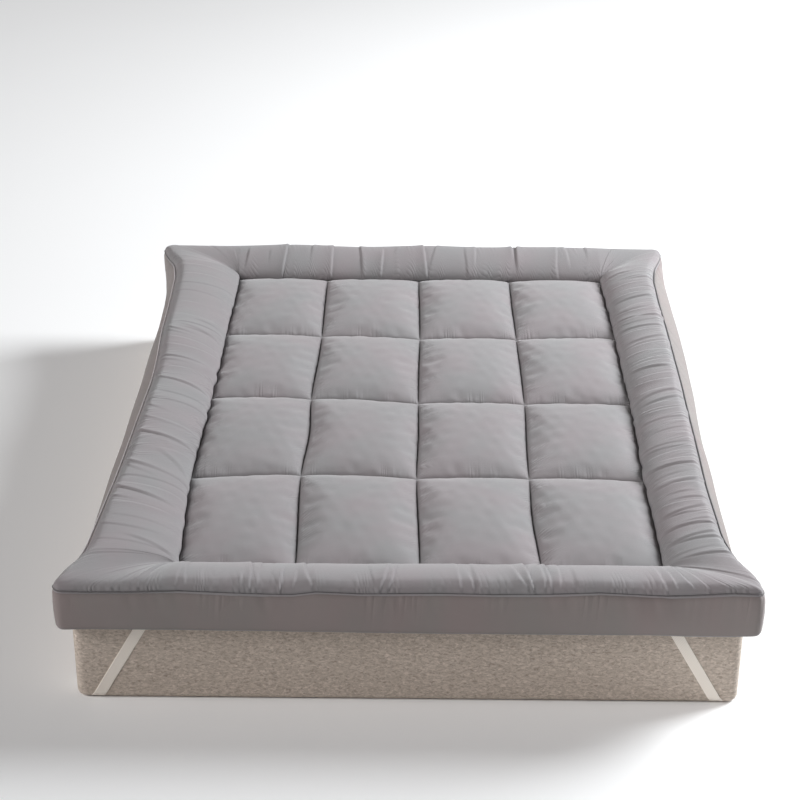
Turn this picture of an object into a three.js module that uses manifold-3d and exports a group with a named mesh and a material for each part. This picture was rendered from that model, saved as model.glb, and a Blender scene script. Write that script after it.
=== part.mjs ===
// A thick quilted topper lying on its mattress, held by an elastic strap round each of the mattress's
// four corners. Millimetres, +Z up. The foot end faces -Y, the mattress stands on z = 0, and the whole is
// centred on the origin.
import * as THREE from "three";
import { mergeVertices } from "three/addons/utils/BufferGeometryUtils.js";
import Module from "manifold-3d";

const wasm = await Module();
wasm.setup();
const lerp = THREE.MathUtils.lerp;
const smoothstep = THREE.MathUtils.smoothstep;

// Clearance between pieces that touch
const gap = 0.3;

const mattress = {
  width: 1500,
  foot: -960, // y of its face at the foot end
  head: 980,
  height: 200,
  cornerRadius: 25,
  cornerSteps: 4,
  edgeRadius: 15,
  edgeSteps: 3,
};

// Sewn lines of the quilting, which divide the centre into four columns and four rows of cells
const quilt = {
  columns: [-528, -259, 24, 302, 583],
  rows: [-835, -400, 17, 425, 838],
  seamHeight: 262,
  crownHeight: 38, // of a cell's middle over its seams
  crownSpread: 0.1, // how much the cells differ
  facets: { across: 9, along: 10 }, // of one cell
  crowding: 0.6, // how strongly the facets crowd towards the seams
  stray: 6, // how far a sewn line strays sideways
};

// Padded roll round the centre. Its crest stands above the line from its inner to its outer seam, and its
// folds run across it: few and deep on the left, fine and shallow on the right
const roll = {
  innerSeamHeight: 262,
  outerSeamHeight: 299.5,
  facets: 6,
  crestAt: 0.5, // share of the way from the inner seam to the outer one
  cornerDrop: 0.34, // how much of its height the crest loses in a corner
  sides: {
    foot: { crest: 46, stations: 36, foldPitch: 118, foldDepth: 3.5 },
    right: { crest: 45, stations: 58, foldPitch: 74, foldDepth: 3 },
    head: { crest: 46, stations: 28, foldPitch: 130, foldDepth: 3 },
    left: { crest: 46, stations: 66, foldPitch: 97, foldDepth: 6 },
  },
  cornerStations: 7,
  foldWander: { share: 0.25, over: 150 }, // how far folds stray, as a share of their pitch, over a length
  foldSpread: { share: 0.4, over: 210 }, // how much their depths differ
  foldFade: 3, // stations over which folds die out towards a corner
};

// Plan of the topper's edge at its outer seam and at its base: half sizes of each side, how far the sides
// bow in between their ends, and where the corners stand out like ears
const outline = {
  seam: { left: 690, right: 720, bowLeft: 30, bowRight: 0, corner: 772, end: 988 },
  base: { left: 748, right: 766, bowLeft: 3, bowRight: -4, corner: 780, end: 993.5 },
  earStart: 235, // distance from the end where a side begins to run out to the corner
  earEnd: 65,
  cornerRadius: 40,
  bulge: 5, // of the band, half way up
};

const band = { thickness: 2, gap: 0.4 };
const welt = { radius: 2.6, facets: 5, outwards: 2.2 };

// Elastic straps, each alike: distances from the mattress's corner along its faces
const strap = {
  width: 25,
  thickness: 1.2,
  fromCornerTop: 160,
  fromCornerBase: 47,
  grooveRoof: 2.1, // height of the groove in the mattress's base that takes the strap
  bendSteps: 4,
  bendShift: 4, // how much nearer the corner it comes while it bends round the lower edge
};
const groove = { margin: 1.5, clearance: 0.5, reach: 8, startHeight: 28, startOut: 2 };

const topperCloth = new THREE.MeshStandardMaterial({ color: 0x9c9a9b, roughness: 0.85, metalness: 0 });
const bandCloth = new THREE.MeshStandardMaterial({ color: 0x8f8c8b, roughness: 0.88, metalness: 0 });
const elastic = new THREE.MeshStandardMaterial({ color: 0xd6cdc3, roughness: 0.7, metalness: 0 });
const heather = new THREE.MeshStandardMaterial({ color: 0x8f857c, roughness: 0.92, metalness: 0 });

const topperBase = mattress.height + gap;

// A closed mesh from points and faces of three or four of them. Points that coincide are merged, the
// faces that this leaves empty are dropped, and a mesh that came out inside out is turned.
function closedMesh(points, faces) {
  const geometry = new THREE.BufferGeometry();
  geometry.setAttribute("position", new THREE.Float32BufferAttribute(points.flat(), 3));
  const corners = faces.flatMap(([a, b, c, d]) => (d === undefined ? [a, b, c] : [a, b, c, a, c, d]));
  geometry.setIndex(corners);
  const merged = mergeVertices(geometry, 1e-3);
  const position = merged.getAttribute("position");
  const [p, q, r] = [new THREE.Vector3(), new THREE.Vector3(), new THREE.Vector3()];
  const kept = [];
  let volume = 0;
  for (let i = 0; i < corners.length; i += 3) {
    const [a, b, c] = [0, 1, 2].map((k) => merged.index.getX(i + k));
    if (a === b || b === c || c === a) continue;
    kept.push(a, b, c);
    p.fromBufferAttribute(position, a);
    q.fromBufferAttribute(position, b);
    r.fromBufferAttribute(position, c);
    volume += p.dot(q.cross(r));
  }
  merged.setIndex(volume < 0 ? kept.reverse() : kept);
  return merged;
}

// Faces that join each section, a closed outline of so many points, to the next. A face's diagonal runs
// upwards along the section, or the other way in the turned columns.
function facesBetween(sections, size, closed, turned = []) {
  const faces = [];
  for (let i = 0; i < (closed ? sections : sections - 1); i++) {
    const next = (i + 1) % sections;
    for (let j = 0; j < size; j++) {
      const up = (j + 1) % size;
      const face = [i * size + j, next * size + j, next * size + up, i * size + up];
      faces.push(turned.includes(j) ? [face[3], face[0], face[1], face[2]] : face);
    }
  }
  return faces;
}

function ring(sections, turned) {
  return closedMesh(sections.flat(), facesBetween(sections.length, sections[0].length, true, turned));
}

// A loft between its first and last section, whose ends are closed with flat fans
function loft(sections) {
  const size = sections[0].length;
  const last = (sections.length - 1) * size;
  const faces = facesBetween(sections.length, size, false);
  for (let j = 1; j < size - 1; j++) faces.push([0, j, j + 1], [last, last + j + 1, last + j]);
  return closedMesh(sections.flat(), faces);
}

// A repeatable unevenness between -1 and 1
function uneven(place, seed) {
  return 0.6 * Math.sin(place * 1.7 + seed) + 0.4 * Math.sin(place * 4.1 + seed * 2.3);
}

// Rise of a cell over its seams, from 0 to 1: steep beside the seams and broad on top
function cellRise(u, v) {
  const dome = (1 - Math.abs(2 * u - 1) ** 2.4) * (1 - Math.abs(2 * v - 1) ** 2.8);
  return Math.sqrt(Math.max(0, dome)) * (0.8 + 0.2 * dome);
}

// The filled centre: a grid of points with facets crowded towards the sewn lines, upright sides and a
// flat base
function quiltField() {
  const { across, along } = quilt.facets;
  const [columns, rows] = [quilt.columns.length - 1, quilt.rows.length - 1];
  const [wide, long] = [columns * across, rows * along];
  const crowd = (t) => lerp(t, 0.5 - 0.5 * Math.cos(Math.PI * t), quilt.crowding);
  const points = [];
  for (let j = 0; j <= long; j++) {
    const row = Math.min(Math.floor(j / along), rows - 1);
    const v = crowd(j / along - row);
    for (let i = 0; i <= wide; i++) {
      const column = Math.min(Math.floor(i / across), columns - 1);
      const u = crowd(i / across - column);
      const free = Math.min(1, i / across, (wide - i) / across, j / along, (long - j) / along);
      const x = lerp(quilt.columns[column], quilt.columns[column + 1], u);
      const y = lerp(quilt.rows[row], quilt.rows[row + 1], v);
      const size = 1 + quilt.crownSpread * uneven(2.1 * column + 1.3 * row, 2);
      points.push([
        x + quilt.stray * free * uneven(j / along, column),
        y + 0.6 * quilt.stray * free * uneven(i / across, row + 4),
        quilt.seamHeight + quilt.crownHeight * size * cellRise(u, v),
      ]);
    }
  }
  const at = (i, j) => j * (wide + 1) + i;
  const faces = [];
  for (let j = 0; j < long; j++)
    for (let i = 0; i < wide; i++) faces.push([at(i, j), at(i + 1, j), at(i + 1, j + 1), at(i, j + 1)]);
  const rim = [];
  for (let i = 0; i < wide; i++) rim.push(at(i, 0));
  for (let j = 0; j < long; j++) rim.push(at(wide, j));
  for (let i = wide; i > 0; i--) rim.push(at(i, long));
  for (let j = long; j > 0; j--) rim.push(at(0, j));
  const below = points.length;
  for (const k of rim) points.push([points[k][0], points[k][1], topperBase]);
  const middle = points.length;
  points.push([quilt.columns[columns / 2], quilt.rows[rows / 2], topperBase]);
  rim.forEach((k, n) => {
    const next = (n + 1) % rim.length;
    faces.push([rim[next], k, below + n, below + next], [middle, below + next, below + n]);
  });
  return closedMesh(points, faces);
}

// Half width of the topper's edge on one side, at a distance y from its middle
function halfWidth(level, side, y) {
  const edge = outline[level];
  const [half, bow] = side < 0 ? [edge.left, edge.bowLeft] : [edge.right, edge.bowRight];
  const bowed = half + bow * (Math.abs(y) / edge.end) ** 1.8 * (y < 0 ? 1 : 0.5);
  const ear = 1 - smoothstep(edge.end - Math.abs(y), outline.earEnd, outline.earStart);
  return lerp(bowed, edge.corner, ear);
}

// The edge round one corner, from the side to the end, as evenly spaced points
function cornerEdge(level, side, end, inner) {
  const radius = outline.cornerRadius;
  const tipX = outline[level].corner;
  const tipY = outline[level].end;
  const dense = [];
  for (let t = 0; t < 1; t += 0.1) {
    const y = lerp(Math.abs(inner[1]), tipY - radius, t);
    dense.push(new THREE.Vector2(side * halfWidth(level, side, end * y), end * y));
  }
  for (let angle = 0; angle <= 90; angle += 15) {
    const turned = THREE.MathUtils.degToRad(angle);
    const x = tipX - radius * (1 - Math.cos(turned));
    const y = tipY - radius * (1 - Math.sin(turned));
    dense.push(new THREE.Vector2(side * x, end * y));
  }
  dense.push(new THREE.Vector2(inner[0], end * tipY));
  const path = new THREE.CurvePath();
  for (let i = 1; i < dense.length; i++) path.add(new THREE.LineCurve(dense[i - 1], dense[i]));
  return path.getSpacedPoints(roll.cornerStations + 1).map((p) => [p.x, p.y]);
}

// Stations round the roll, anticlockwise from the foot's left corner. Each has its place on the quilted
// centre's edge, on the outer seam and on the base, how far into a corner it is, and the height of the
// crest there
function rollStations() {
  const inner = {
    left: quilt.columns[0] - gap,
    right: quilt.columns.at(-1) + gap,
    foot: quilt.rows[0] - gap,
    head: quilt.rows.at(-1) + gap,
  };
  const list = [];
  const fold = (name, place) => {
    const { foldPitch, foldDepth } = roll.sides[name];
    const { foldWander, foldSpread } = roll;
    const phase = place / foldPitch + foldWander.share * uneven(place / foldWander.over, foldPitch);
    const depth = foldDepth * (1 + foldSpread.share * uneven(place / foldSpread.over, 1));
    return depth * Math.sin(2 * Math.PI * phase);
  };
  const straight = (name, from, to, placesAt) => {
    const { stations, crest } = roll.sides[name];
    for (let k = 0; k <= stations; k++) {
      const place = lerp(from, to, k / stations);
      const fade = Math.min(1, k / roll.foldFade, (stations - k) / roll.foldFade);
      list.push({ ...placesAt(place), corner: 0, crest: crest + fade * fold(name, place) });
    }
  };
  const endSide = (name, end) => (x) => ({
    inner: [x, inner[name]],
    seam: [x, end * outline.seam.end],
    base: [x, end * outline.base.end],
  });
  const longSide = (name, side) => (y) => ({
    inner: [inner[name], y],
    seam: [side * halfWidth("seam", side, y), y],
    base: [side * halfWidth("base", side, y), y],
  });
  const corner = (side, end, from, to) => {
    const place = [side < 0 ? inner.left : inner.right, end < 0 ? inner.foot : inner.head];
    const [seam, base] = ["seam", "base"].map((level) => cornerEdge(level, side, end, place));
    if (side * end < 0) [seam, base].forEach((edge) => edge.reverse());
    for (let k = 1; k <= roll.cornerStations; k++) {
      const turned = k / (roll.cornerStations + 1);
      const crest = lerp(roll.sides[from].crest, roll.sides[to].crest, turned);
      list.push({ inner: place, seam: seam[k], base: base[k], corner: Math.sin(Math.PI * turned), crest });
    }
  };
  straight("foot", inner.left, inner.right, endSide("foot", -1));
  corner(1, -1, "foot", "right");
  straight("right", inner.foot, inner.head, longSide("right", 1));
  corner(1, 1, "right", "head");
  straight("head", inner.right, inner.left, endSide("head", 1));
  corner(-1, 1, "head", "left");
  straight("left", inner.head, inner.foot, longSide("left", -1));
  corner(-1, -1, "left", "foot");
  // Outward direction in plan, square to the outer seam
  return list.map((station, k) => {
    const before = list.at(k - 1).seam;
    const after = list[(k + 1) % list.length].seam;
    const along = new THREE.Vector2(after[0] - before[0], after[1] - before[1]).normalize();
    return { ...station, out: [along.y, -along.x] };
  });
}

// A point of the topper's upright side, at a share of its height, moved outwards in plan
function sidePoint({ seam, base, out }, share, outwards) {
  const push = outwards + outline.bulge * 4 * share * (1 - share);
  return [
    lerp(base[0], seam[0], share) + out[0] * push,
    lerp(base[1], seam[1], share) + out[1] * push,
    lerp(topperBase, roll.outerSeamHeight, share),
  ];
}

// A point of the roll's upper surface, at a share of the way from its outer seam to its inner one
function rollPoint({ seam, inner, corner, crest }, share) {
  const inwards = 1 - share;
  const skewed = inwards ** (Math.log(0.5) / Math.log(roll.crestAt));
  const rise = crest * (1 - roll.cornerDrop * corner) * Math.sqrt(1 - (2 * skewed - 1) ** 2);
  const seamLine = lerp(roll.outerSeamHeight, roll.innerSeamHeight, share ** 1.3);
  return [lerp(seam[0], inner[0], share), lerp(seam[1], inner[1], share), seamLine + rise];
}

function borderRoll(stations) {
  const crowded = (_, k) => 0.5 - 0.5 * Math.cos((Math.PI * (k + 1)) / roll.facets);
  const shares = Array.from({ length: roll.facets }, crowded);
  return ring(
    stations.map((station) => [
      [...station.inner, topperBase],
      sidePoint(station, 0, 0),
      sidePoint(station, 0.5, 0),
      sidePoint(station, 1, 0),
      ...shares.map((share) => rollPoint(station, share)),
    ]),
  );
}

// The upright strip that closes the roll's outside, with the facets of its inner face turned to match the
// roll's
function sideBand(stations) {
  const [near, far] = [band.gap, band.gap + band.thickness];
  const innerFace = [4, 5];
  return ring(
    stations.map((station) => [
      sidePoint(station, 0, near),
      sidePoint(station, 0, far),
      sidePoint(station, 0.5, far),
      sidePoint(station, 1, far),
      sidePoint(station, 1, near),
      sidePoint(station, 0.5, near),
    ]),
    innerFace,
  );
}

// The thin cord sewn into the outer seam, between the roll and the band
function seamWelt(stations) {
  return ring(
    stations.map((station) => {
      const height = roll.outerSeamHeight + band.gap + welt.radius;
      return Array.from({ length: welt.facets }, (_, k) => {
        const angle = (2 * Math.PI * k) / welt.facets - Math.PI / 2;
        const reach = welt.outwards + welt.radius * Math.cos(angle);
        return [
          station.seam[0] + station.out[0] * reach,
          station.seam[1] + station.out[1] * reach,
          height + welt.radius * Math.sin(angle),
        ];
      });
    }),
  );
}

// Route of a strap's inner face down the mattress, round its lower edge and into the groove in its base:
// the distance in from the face and the height, at an angle round the edge and an offset outwards
function strapRoute(angle, offset) {
  const radius = mattress.edgeRadius + gap + offset;
  return [
    mattress.edgeRadius - radius * Math.cos(angle),
    strap.grooveRoof + mattress.edgeRadius - radius * Math.sin(angle),
  ];
}

// Rows across one half of a strap-like strip, from its start on the face to the diagonal of the corner. A
// row's points are [along the face, in from the face, height], near the corner and far from it, inside
// and outside
function halfStrip(start, margin, inside, outside) {
  const across = Math.atan2(strap.fromCornerTop - strap.fromCornerBase, mattress.height);
  const half = strap.width / 2 + margin;
  const centreAt = (height) => lerp(strap.fromCornerBase, strap.fromCornerTop, height / mattress.height);
  const row = (centre, reach, [inIn, inUp], [outIn, outUp]) => [
    [centre - reach, inIn, inUp],
    [centre + reach, inIn, inUp],
    [centre + reach, outIn, outUp],
    [centre - reach, outIn, outUp],
  ];
  const rows = start.map(([height, from, to]) =>
    row(centreAt(height), half / Math.cos(across), [-gap - from, height], [-gap - to, height]),
  );
  for (let k = start.length > 1 ? 0 : 1; k <= strap.bendSteps; k++) {
    const angle = (Math.PI / 2) * (k / strap.bendSteps);
    const inner = strapRoute(angle, inside);
    const reach = lerp(half / Math.cos(across), half / Math.cos(Math.PI / 4), 0.6 * (k / strap.bendSteps));
    const bent = centreAt(inner[1]) - strap.bendShift * (k / strap.bendSteps);
    rows.push(row(bent, reach, inner, strapRoute(angle, outside)));
  }
  const last = rows.at(-1);
  const middle = ((last[0][0] + last[1][0]) / 2 + mattress.edgeRadius) / 2;
  const reach = half * Math.SQRT1_2;
  const [low, high] = [middle - reach, middle + reach];
  const diagonal = [
    [low, low, last[0][2]],
    [high, high, last[1][2]],
    [high, high, last[2][2]],
    [low, low, last[3][2]],
  ];
  return { rows, diagonal };
}

// A whole strip: the half on the end face, the diagonal under the corner, and the same half on the side
// face
function cornerStrip(side, end, ...half) {
  const { rows, diagonal } = halfStrip(...half);
  const mirrored = rows.map((row) => row.map(([along, inwards, up]) => [inwards, along, up])).reverse();
  const cornerX = (side * mattress.width) / 2;
  const cornerY = end < 0 ? mattress.foot : mattress.head;
  const place = ([x, y, z]) => [cornerX - side * x, cornerY - end * y, z];
  return loft([...rows, diagonal, ...mirrored].map((row) => row.map(place)));
}

function cornerStrap(side, end) {
  const face = [mattress.height, mattress.height / 2].map((height) => [height, 0, strap.thickness]);
  return cornerStrip(side, end, face, 0, 0, strap.thickness);
}

// The solid that is cut out of the mattress's lower corner, so that it stands flat with the strap under it
function strapGroove(side, end) {
  const start = [[groove.startHeight, groove.startOut, groove.reach]];
  return cornerStrip(side, end, start, groove.margin, -groove.clearance, groove.reach);
}

function solidOf(geometry) {
  const solid = new wasm.Mesh({
    numProp: 3,
    vertProperties: new Float32Array(geometry.getAttribute("position").array),
    triVerts: new Uint32Array(geometry.index.array),
  });
  return new wasm.Manifold(solid);
}

function geometryOf(solid) {
  const { vertProperties, triVerts } = solid.getMesh();
  const geometry = new THREE.BufferGeometry();
  geometry.setAttribute("position", new THREE.BufferAttribute(vertProperties, 3));
  geometry.setIndex(new THREE.BufferAttribute(triVerts, 1));
  return geometry;
}

// A plain block with rounded corners and edges, less the grooves for the straps
function mattressBlock() {
  const { width, foot, head, height, cornerRadius, cornerSteps, edgeRadius, edgeSteps } = mattress;
  const level = (inset, z) => {
    const points = [];
    [[1, -1], [1, 1], [-1, 1], [-1, -1]].forEach(([side, end], quarter) => {
      const centreX = side * (width / 2 - cornerRadius);
      const centreY = end < 0 ? foot + cornerRadius : head - cornerRadius;
      for (let k = 0; k <= cornerSteps; k++) {
        const angle = (Math.PI / 2) * (quarter - 1 + k / cornerSteps);
        const radius = cornerRadius - inset;
        points.push([centreX + radius * Math.cos(angle), centreY + radius * Math.sin(angle), z]);
      }
    });
    return points;
  };
  const levels = [];
  for (let k = 0; k <= edgeSteps; k++) {
    const angle = (Math.PI / 2) * (k / edgeSteps);
    levels.push(level(edgeRadius * (1 - Math.sin(angle)), edgeRadius * (1 - Math.cos(angle))));
  }
  for (let k = edgeSteps; k >= 0; k--) {
    const angle = (Math.PI / 2) * (k / edgeSteps);
    levels.push(level(edgeRadius * (1 - Math.sin(angle)), height - edgeRadius * (1 - Math.cos(angle))));
  }
  let block = solidOf(loft(levels));
  for (const side of [-1, 1]) {
    for (const end of [-1, 1]) block = block.subtract(solidOf(strapGroove(side, end)));
  }
  return geometryOf(block);
}

const model = new THREE.Group();

function add(name, geometry, material) {
  const mesh = new THREE.Mesh(geometry, material);
  mesh.name = name;
  model.add(mesh);
}

const stations = rollStations();
add("mattress", mattressBlock(), heather);
add("quilt_field", quiltField(), topperCloth);
add("border_roll", borderRoll(stations), topperCloth);
add("side_band", sideBand(stations), bandCloth);
add("seam_welt", seamWelt(stations), topperCloth);
for (const [end, endName] of [[-1, "foot"], [1, "head"]]) {
  for (const [side, sideName] of [[-1, "left"], [1, "right"]]) {
    add(`strap_${endName}_${sideName}`, cornerStrap(side, end), elastic);
  }
}

const box = new THREE.Box3().setFromObject(model);
const centre = box.getCenter(new THREE.Vector3());
model.position.set(-centre.x, -centre.y, -box.min.z);

export default model;
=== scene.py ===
# A thick quilted topper on its mattress, with elastic straps round the mattress's corners.
# Metres, +Z up, foot end towards -Y. Sizes that the frame holds are read from it.
import math
import bpy
import numpy as np
from mathutils import Matrix, Vector


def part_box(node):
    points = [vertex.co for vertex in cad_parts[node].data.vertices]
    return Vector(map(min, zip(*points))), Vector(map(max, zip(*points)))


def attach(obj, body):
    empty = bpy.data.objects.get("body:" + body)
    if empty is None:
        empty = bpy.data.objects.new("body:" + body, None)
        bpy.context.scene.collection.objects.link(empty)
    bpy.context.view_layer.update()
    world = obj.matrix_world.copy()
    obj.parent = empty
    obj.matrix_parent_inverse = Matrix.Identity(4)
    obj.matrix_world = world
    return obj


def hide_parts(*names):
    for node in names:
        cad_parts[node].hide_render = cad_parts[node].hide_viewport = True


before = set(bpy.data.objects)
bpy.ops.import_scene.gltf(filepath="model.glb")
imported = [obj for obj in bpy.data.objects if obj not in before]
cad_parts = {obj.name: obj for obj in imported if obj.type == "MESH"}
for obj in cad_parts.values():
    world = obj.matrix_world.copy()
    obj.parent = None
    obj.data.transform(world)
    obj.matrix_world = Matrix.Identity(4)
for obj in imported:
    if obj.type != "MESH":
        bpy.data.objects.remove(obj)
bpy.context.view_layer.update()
print("frame loaded")


# Helpers for numbers and shapes

def smoothStep(x, low, high):
    # 0 below low, 1 above high, and 3t^2 - 2t^3 of the share t between
    t = np.clip((x - low) / (high - low), 0, 1)
    return t * t * (3 - 2 * t)


def wavy(x, pitch, seed, waves=6, around=0.0):
    # sum of sines with random phases and pitches near the given one, about -1..1; on a closed edge of the length
    # around, each sine has a whole number of turns
    draw = np.random.default_rng(seed)
    total = np.zeros_like(x, dtype=float)
    for k in range(waves):
        turns = 1 / (pitch * draw.uniform(0.6, 1.9))
        if around:
            turns = round(turns * around) / around
        total += np.sin(2 * math.pi * x * turns + draw.uniform(0, 6.283)) * draw.uniform(0.5, 1)
    return total / (0.75 * waves) ** 0.5 / 1.25


def cloudy(x, y, pitch, seed, waves=14):
    # sum of plane waves in random directions, about -1..1
    draw = np.random.default_rng(seed)
    total = np.zeros(np.broadcast(x, y).shape)
    for k in range(waves):
        turn = draw.uniform(0, math.pi)
        size = 2 * math.pi / (pitch * draw.uniform(0.6, 1.8))
        total += np.sin(size * (x * math.cos(turn) + y * math.sin(turn)) + draw.uniform(0, 6.283))
    return total / (0.5 * waves) ** 0.5 / 1.6


def eased(table, u, v):
    # a table's values between its four neighbours, with 3t^2 - 2t^3 of the fraction each way
    table = np.asarray(table, float)
    i, j = (np.clip(w.astype(int), 0, n - 2) for w, n in ((u, table.shape[1]), (v, table.shape[0])))
    a, b = smoothStep(u - i, 0, 1), smoothStep(v - j, 0, 1)
    return ((table[j, i] * (1 - a) + table[j, i + 1] * a) * (1 - b)
            + (table[j + 1, i] * (1 - a) + table[j + 1, i + 1] * a) * b)


def stacked(*arrays):
    # arrays as the last axis of one, each spread out to the common size
    return np.stack(np.broadcast_arrays(*arrays), -1)


def withHeight(plan, height):
    # points in plan with a height for each, or one for all
    return np.concatenate([plan, np.broadcast_to(height, plan.shape[:-1])[..., None]], -1)


def stackFaces(rows, cols):
    # the sides and both ends of a closed body of stacked outlines
    last = (rows - 1) * cols
    ends = [list(range(cols)), list(range(last, last + cols))[::-1]]
    return gridFaces(rows, cols, closedCols=True).tolist() + ends


def gridFaces(rows, cols, closedRows=False, closedCols=False):
    # quads between neighbouring rows and columns of a grid that is numbered row by row
    r = np.arange(rows if closedRows else rows - 1)
    c = np.arange(cols if closedCols else cols - 1)
    r0, c0 = np.meshgrid(r, c, indexing="ij")
    r1, c1 = (r0 + 1) % rows, (c0 + 1) % cols
    return stacked(r0 * cols + c0, r1 * cols + c0, r1 * cols + c1, r0 * cols + c1).reshape(-1, 4)


def faceOutwards(mesh):
    # turns a closed mesh whose signed volume is negative
    mesh.calc_loop_triangles()
    points = np.empty(len(mesh.vertices) * 3)
    mesh.vertices.foreach_get("co", points)
    corners = np.empty(len(mesh.loop_triangles) * 3, int)
    mesh.loop_triangles.foreach_get("vertices", corners)
    a, b, c = points.reshape(-1, 3)[corners.reshape(-1, 3)].transpose(1, 0, 2)
    if np.einsum("ij,ij->i", a, np.cross(b, c)).sum() < 0:
        mesh.flip_normals()


def makePiece(name, points, faces, uv=None, around=0.0, closed=True):
    # one mesh object from arrays; uv is a flat position in metres for each point, and on a strip closed after the
    # length around, the last quads' far corners get that length more
    mesh = bpy.data.meshes.new(name)
    mesh.from_pydata(points.reshape(-1, 3).tolist(), [], [list(f) for f in faces])
    if uv is not None:
        layer = mesh.uv_layers.new(name="cloth")
        corner = np.empty(len(mesh.loops), int)
        mesh.loops.foreach_get("vertex_index", corner)
        flat = uv.reshape(-1, 2)[corner]
        if around:
            along = flat.reshape(-1, 4, 2)[..., 0]
            along += around * (along.max(1, keepdims=True) - along > around / 2)
        layer.data.foreach_set("uv", flat.ravel())
    mesh.polygons.foreach_set("use_smooth", np.full(len(mesh.polygons), True))
    mesh.update()
    if closed:
        faceOutwards(mesh)
    piece = bpy.data.objects.new(name, mesh)
    bpy.context.scene.collection.objects.link(piece)
    return piece


def keepValue(piece, name, values):
    # a number for each point that the materials read as an attribute
    layer = piece.data.attributes.new(name, "FLOAT", "POINT")
    layer.data.foreach_set("value", np.asarray(values, np.float32).ravel())


clothPlain = {
    "quality": 5,
    "mass": 0.3,
    "tension_stiffness": 30,
    "compression_stiffness": 30,
    "shear_stiffness": 10,
    "air_damping": 1,
    "use_pressure": True,
    "vertex_group_mass": "held",
}


def settle(name, points, faces, held, cloth, spare=None):
    # cloth with spare length, blown up between its held points: each point moves at most the cap. Where spare is
    # given, from 0 to 1, it says how much of the spare length each point has
    sheet = makePiece(name, points, faces, closed=False)
    sheet.vertex_groups.new(name="held").add(np.flatnonzero(held).tolist(), 1.0, "REPLACE")
    settings = {**clothPlain, "bending_stiffness": cloth["bend"], "uniform_pressure_force": cloth["pressure"],
                "shrink_min": -cloth["spare"]}
    if spare is not None:
        fuller = sheet.vertex_groups.new(name="spare")
        share = np.round(np.clip(spare, 0, 1) * 20).astype(int)
        for level in range(21):
            fuller.add(np.flatnonzero(share == level).tolist(), level / 20, "REPLACE")
        settings.update({"vertex_group_shrink": "spare", "shrink_min": 0.0, "shrink_max": -cloth["spare"]})
    modifier = sheet.modifiers.new("settle", "CLOTH")
    for key, value in settings.items():
        setattr(modifier.settings, key, value)
    modifier.settings.effector_weights.gravity = 0
    modifier.collision_settings.use_collision = False
    modifier.point_cache.frame_end = cloth["frames"]
    scene = bpy.context.scene
    for step in range(1, cloth["frames"] + 1):
        scene.frame_set(step)
    settled = sheet.evaluated_get(bpy.context.evaluated_depsgraph_get())
    after = np.empty(points.size)
    settled.data.vertices.foreach_get("co", after)
    bpy.data.meshes.remove(sheet.data)  # the sheet goes with it
    scene.frame_set(1)
    moved = after.reshape(points.shape) - points
    far = np.linalg.norm(moved, axis=-1, keepdims=True)
    return points + moved * np.minimum(1, cloth["cap"] / np.maximum(far, 1e-9))


def calmed(points, fixed, passes, closed=False):
    # each free point keeps half of its place and takes an eighth of each neighbour's; closed joins the grid's rows
    out = points.copy()
    for k in range(passes):
        padded = np.pad(out, ((1, 1), (0, 0), (0, 0)), mode="wrap" if closed else "edge")
        padded = np.pad(padded, ((0, 0), (1, 1), (0, 0)), mode="edge")
        soft = (padded[:-2, 1:-1] + padded[2:, 1:-1] + padded[1:-1, :-2] + padded[1:-1, 2:]) / 8 + out / 2
        out = np.where(fixed[..., None], out, soft)
    return out


def pushed(points, depth, closed=False):
    # moves a grid's points inwards along its own normals, which are the cross products of its two ways
    ahead = (np.roll(points, -1, 0) - np.roll(points, 1, 0)) if closed else np.gradient(points, axis=0)
    normal = np.cross(ahead, np.gradient(points, axis=1))
    normal /= np.maximum(np.linalg.norm(normal, axis=2, keepdims=True), 1e-9)
    return points - normal * depth[..., None]


def outwards(line):
    # unit vectors square to a closed line, away from what it goes round, from each point's two neighbours
    along = np.roll(line, -1, 0) - np.roll(line, 1, 0)
    along /= np.linalg.norm(along, axis=1, keepdims=True)
    return stacked(along[:, 1], -along[:, 0])


def smoothRound(values, reach):
    # running mean round a closed row of numbers, twice over
    for k in range(2):
        values = sum(np.roll(values, i) for i in range(-reach, reach + 1)) / (2 * reach + 1)
    return values


def besideSeam(away):
    # how far a fold has risen at a distance from a seam: 1 less e^(-distance/3 mm)
    return 1 - np.exp(-away / 0.003)


def groove(away, shape):
    # painted shade along a seam: its depth times e^(-distance/reach)
    depth, reach = shape
    return depth * np.exp(-away / reach)


def puckers(along, away, kind, seed, around=0.0):
    # short sewn folds for the material to raise: their phase along a seam, uneven and slanting away from it, and their
    # strength, which comes and goes along the seam and from fold to fold, starts just beside it and dies out with a
    # reach of its own; it fades to nothing where a closed seam starts
    pitch, slant, reach, grouping, start, depth = kind
    drift, group, far, own = (wavy(along, spread, seed + k, around=around)
                              for k, spread in enumerate((4 * pitch, grouping, 2.5 * pitch, 1.6 * pitch)))
    phase = (along + slant * away) / pitch + drift
    group = smoothStep(group, start, start + 1.0) * (0.35 + 0.65 * smoothStep(own, -0.5, 0.5))
    fade = np.exp(-(away / np.maximum(reach * (1 + 0.5 * far), 0.004)) ** 1.5) * besideSeam(away)
    if around:
        fade = fade * smoothStep(np.minimum(along, around - along), 0.008, 0.020)
    return phase, 1000 * depth * group * fade


def keepPuckers(piece, letter, phase, strength):
    # one set of puckers as the two numbers that the materials read
    keepValue(piece, "phase" + letter, phase)
    keepValue(piece, "strength" + letter, strength)


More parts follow.
